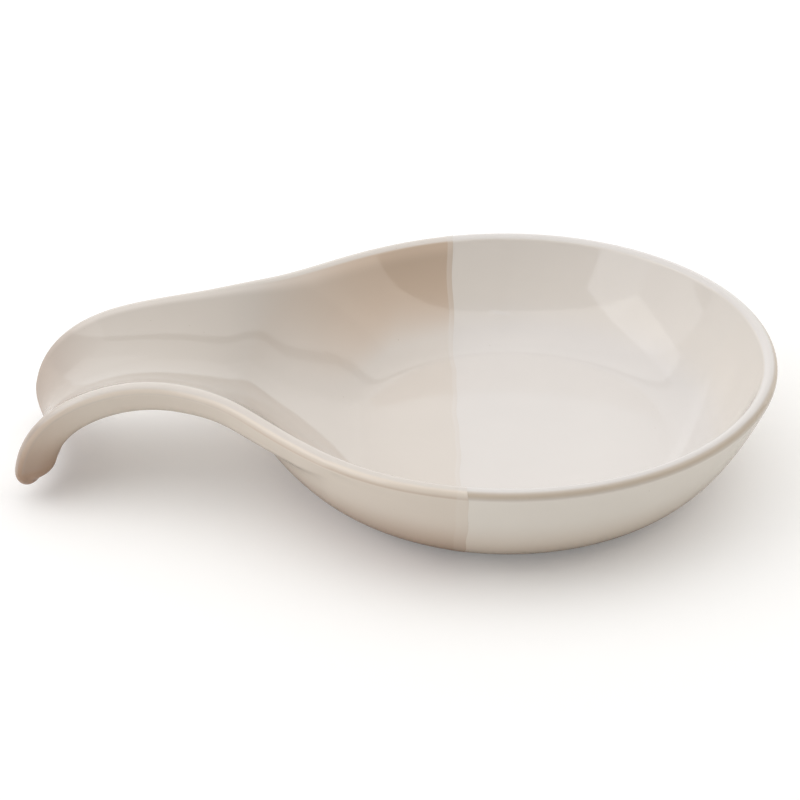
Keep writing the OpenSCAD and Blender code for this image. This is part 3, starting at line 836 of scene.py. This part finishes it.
def glaze(name, lit_and_shaded_colours, edge, speck, second_dip_and_shade=None):
    """Gloss glaze, whose colour holds painted light and shade.

    Its first colours are lit and shaded copies of the glaze: level ground, steep inside, upper
    and lower outside. Edge tints the rim's outer half as painted shade. Only the upper coat
    has the last argument: there the rim's outer half also takes the lit upper outside colour
    as a painted highlight, painted shade tints the high tops and the tip, and the coat under
    its lap gets its own colours."""
    material, tree = new_material(name)
    spot = add(tree, "ShaderNodeTexCoord").outputs["Object"]
    up = split(tree, add(tree, "ShaderNodeNewGeometry").outputs["Normal"])["Z"]
    height = maths(tree, "DIVIDE", split(tree, spot)["Z"], MM)
    # The rim's outer half: painted shade on the white coat, a painted highlight on the beige.
    lip_shading_mask = attribute(tree, "edge")
    # Painted light and shade: by how a point faces and how high it lies, it takes a lit or a shaded
    # copy of the glaze colour.
    outside = share_of(tree, up, *GLAZE["outside_from_to"])
    # On the upper coat the rim's outer half takes the lit upper outside colour: a painted highlight.
    if second_dip_and_shade:
        outside = maths(tree, "MAXIMUM", outside, lip_shading_mask)
    slanting = share_of(tree, up, *GLAZE["steep_from_to"])
    steep_wall_shading = maths(tree, "MULTIPLY", slanting, attribute(tree, "bowl"))
    low_shading = share_of(tree, height, *GLAZE["low_from_to"])

    def by_light_and_shade(colours):
        inside = blend_colours(tree, steep_wall_shading, linear(colours[0]), linear(colours[1]))
        under = blend_colours(tree, low_shading, linear(colours[2]), linear(colours[3]))
        return blend_colours(tree, outside, inside, under)

    colour = by_light_and_shade(lit_and_shaded_colours)
    if second_dip_and_shade:
        # Painted shade: darkens the upward-facing tops high on the handle, away from the rim.
        off_rim = maths(tree, "SUBTRACT", 1.0, attribute(tree, "rim"))
        open_top = maths(tree, "MULTIPLY", share_of(tree, up, *GLAZE["open_from_to"]), off_rim)
        high_top_shade = maths(tree, "MULTIPLY", share_of(tree, height, *GLAZE["high_from_to"]), open_top)
        colour = tinted(tree, high_top_shade, colour, second_dip_and_shade["high"])
        most = maths(tree, "MULTIPLY_ADD", outside, LAP["out"] - LAP["in"], LAP["in"])
        on_lap = share_of(tree, attribute(tree, "lap"), *GLAZE["lap_from_to"])
        under_lap = by_light_and_shade(second_dip_and_shade["first_dip"])
        colour = blend_colours(tree, maths(tree, "MULTIPLY", on_lap, most), colour, under_lap)
    # Painted shade: the edge tint darkens the rim's outer half.
    colour = tinted(tree, lip_shading_mask, colour, edge)
    if second_dip_and_shade:
        # Painted shade: darker towards the drooping tip.
        colour = tinted(tree, attribute(tree, "tip_end"), colour, second_dip_and_shade["tip"])
    colour = specked(tree, spot, clouded(tree, spot, colour), speck)
    skin_normal = add(tree, "ShaderNodeBump", Strength=1.0, Distance=GLAZE["peel_depth"] * MM,
                      Height=noise(tree, spot, GLAZE["peel_size"], 1.0)).outputs[0]
    glass = add(tree, "ShaderNodeBsdfPrincipled", Base_Color=colour, Roughness=GLAZE["roughness"],
                IOR=GLAZE["ior"], Normal=skin_normal)
    add(tree, "ShaderNodeOutputMaterial", Surface=glass.outputs[0])
    return material


# Tin-white. Its colours are painted light and shade: level ground, a little warmer on the steep
# walls inside, lighter on the upper outside, browner low down near the table. The warm tint
# over the rim's outer half is painted shade.
TIN = ("#DFDBD8", "#E3DDD6", "#F5F0E8", "#E8DACB")
white_glaze = glaze("tin-white gloss glaze on stoneware", TIN, "#ECE3D7", "#A8977F")
# Oatmeal: the same glassy base with less tin, so that warm clay shows through it. Its colours
# are painted light and shade as for the white, browner on the steep walls inside. It is the
# second dip, so the white shows through its lap. Over the rim's outer half it takes the light
# upper outside colour, a painted highlight, with almost no tint. Painted shade darkens the
# high tops of the handle and the drooping tip.
OATMEAL = ("#DBD4CD", "#D4C0AD", "#EDE3D7", "#CAB09B")
beige_glaze = glaze("oatmeal gloss glaze on stoneware", OATMEAL, "#FDFBF9", "#947F68",
                    {"high": "#E5E3E0", "tip": "#DCCFC6", "first_dip": TIN})
print("glazes:", white_glaze.name, "|", beige_glaze.name)

# %% [markdown]
# ## The bare clay
# Fired stoneware without glaze is matt and gritty, with warm and cool grains, and a shade
# darker where it was wiped. It only shows underneath, where the base and the foot ring
# were kept clean for the kiln shelf.

# %% Clay
# Sandy buff stoneware: no gloss at all, so its grit is what the eye gets. Sizes in mm.
CLAY = {"grain": 0.8, "grain_depth": 0.08, "grain_from_to": (0.58, 0.75), "patch": 25,
        "patch_from_to": (0.35, 0.65), "ior": 1.5, "roughness": 0.85, "sheen_level": 0.3}
bare_clay, tree = new_material("bare fired stoneware, buff")
spot = add(tree, "ShaderNodeTexCoord").outputs["Object"]
grains = noise(tree, spot, CLAY["grain"], 3.0)
wiped = share_of(tree, noise(tree, spot, CLAY["patch"], 2.0), *CLAY["patch_from_to"])
body = blend_colours(tree, wiped, linear("#C9AE8C"), linear("#BFA381"))
gritty = share_of(tree, grains, *CLAY["grain_from_to"])
body = blend_colours(tree, gritty, body, linear("#9C8163"))
grit = add(tree, "ShaderNodeBump", Strength=1.0, Distance=CLAY["grain_depth"] * MM,
           Height=grains).outputs[0]
matt_body = add(tree, "ShaderNodeBsdfPrincipled", Base_Color=body, Roughness=CLAY["roughness"],
                IOR=CLAY["ior"], Specular_IOR_Level=CLAY["sheen_level"], Normal=grit)
add(tree, "ShaderNodeOutputMaterial", Surface=matt_body.outputs[0])
print("clay:", bare_clay.name)

# %% [markdown]
# ## Bend each piece and keep it as a plain mesh
# The same tree bends all three. Its inputs are set before it is first worked out, the
# result is stored as an ordinary mesh, and the modifier is taken away. The thin edges of
# a coat are real corners, so edges that turn sharply are marked and stay crisp.

# %% Bend the pieces
SHARP_TURN = 50    # degrees


def at_mm(point):
    return (point[0] * MM, 0.0, point[1] * MM)


PATH = dict(zip(("Rise 1", "Rise 2", "Rise 3", "Crown"), map(at_mm, rise_points)))
PATH.update(zip(("Droop 2", "Droop 3", "Tip"), map(at_mm, droop_points[1:])))


def bend_piece(thing, is_coat, material):
    modifier = thing.modifiers.new("bend", "NODES")
    modifier.node_group = bending
    values = dict(PATH, Place=(BOWL_X * MM, 0.0, lift * MM), Material=material)
    values.update({"Still Radius": base_r * MM, "Bent Radius": rim_line * MM, "Is Coat": is_coat,
                   "Clay Inset": SIZE["glaze_t"] * MM, "Coat Thickness": SIZE["glaze_t"] * MM})
    for item in bending.interface.items_tree:
        if item.in_out == "INPUT" and item.name in values:
            modifier[item.identifier] = values[item.name]
    bpy.context.view_layer.update()
    evaluated = thing.evaluated_get(bpy.context.evaluated_depsgraph_get())
    done = bpy.data.meshes.new_from_object(evaluated)
    thing.modifiers.remove(modifier)
    thing.data = done
    done.shade_smooth()
    done.set_sharp_from_angle(angle=math.radians(SHARP_TURN))
    print(thing.name, "bent:", len(done.vertices), "points,", len(done.polygons), "faces")


bend_piece(stoneware, False, bare_clay)
bend_piece(white_coat, True, white_glaze)
bend_piece(beige_coat, True, beige_glaze)

# %% [markdown]
# ## Hand the pieces over
# Every piece rides on the one rigid body, and each takes the place of the frame's node of
# the same part.

# %% Ride and replace
HANDED = ((stoneware, "stoneware_body", "bare_clay"), (white_coat, "white_glaze", "white_glaze"),
          (beige_coat, "beige_glaze", "beige_glaze"))
for thing, node, slot in HANDED:
    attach(thing, "root")
    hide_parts(node)
